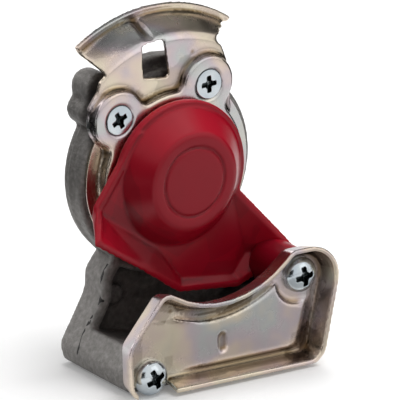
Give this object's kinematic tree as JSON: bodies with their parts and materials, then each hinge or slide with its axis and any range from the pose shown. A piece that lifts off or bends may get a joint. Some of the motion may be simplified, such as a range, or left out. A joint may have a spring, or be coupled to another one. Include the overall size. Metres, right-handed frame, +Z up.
{
  "type": "air brake coupling head",
  "caption": "Palm-type air brake coupling head: cast body with a rear threaded port, stamped claw and guide plates, rubber face seal and a sprung swing cover.",
  "frame": {"origin": "centre of the rear air port's mouth, on the seal's axis", "axes": "+Y out of the rear port along the seal's axis, so the seal faces -Y; +Z up to the claw; +X to the right seen from the seal side"},
  "size_m": [0.0771, 0.058, 0.108],
  "materials": {
    "cast_aluminium": "matt as-cast grey",
    "rubber": "matt black rubber",
    "zinc_plate": "yellow passivated zinc plating with an iridescent cast",
    "screw_steel": "bright zinc plating",
    "plain_steel": "plain bright steel",
    "red_plastic": "glossy moulded plastic"
  },
  "bodies": {
    "head": {"body": "cast_aluminium", "seal_ring": "rubber", "seal_retainer": "zinc_plate", "claw_plate": "zinc_plate", "claw_screw_left": "screw_steel", "claw_screw_right": "screw_steel", "guide_plate": "zinc_plate", "guide_screw": "screw_steel", "pivot_screw": "screw_steel", "pivot_sleeve": "plain_steel", "cover_spring": "plain_steel"},
    "cover": {"cover": "red_plastic"}
  },
  "joints": [
    {"name": "cover_swing", "type": "hinge", "parent": "head", "child": "cover", "pos_m": [0.0313, -0.036, -0.0309], "axis": [0, 1, 0], "range_deg": [0, 75], "stiffness_Nm_per_rad": 0.05, "springref_deg": -28.65}
  ]
}
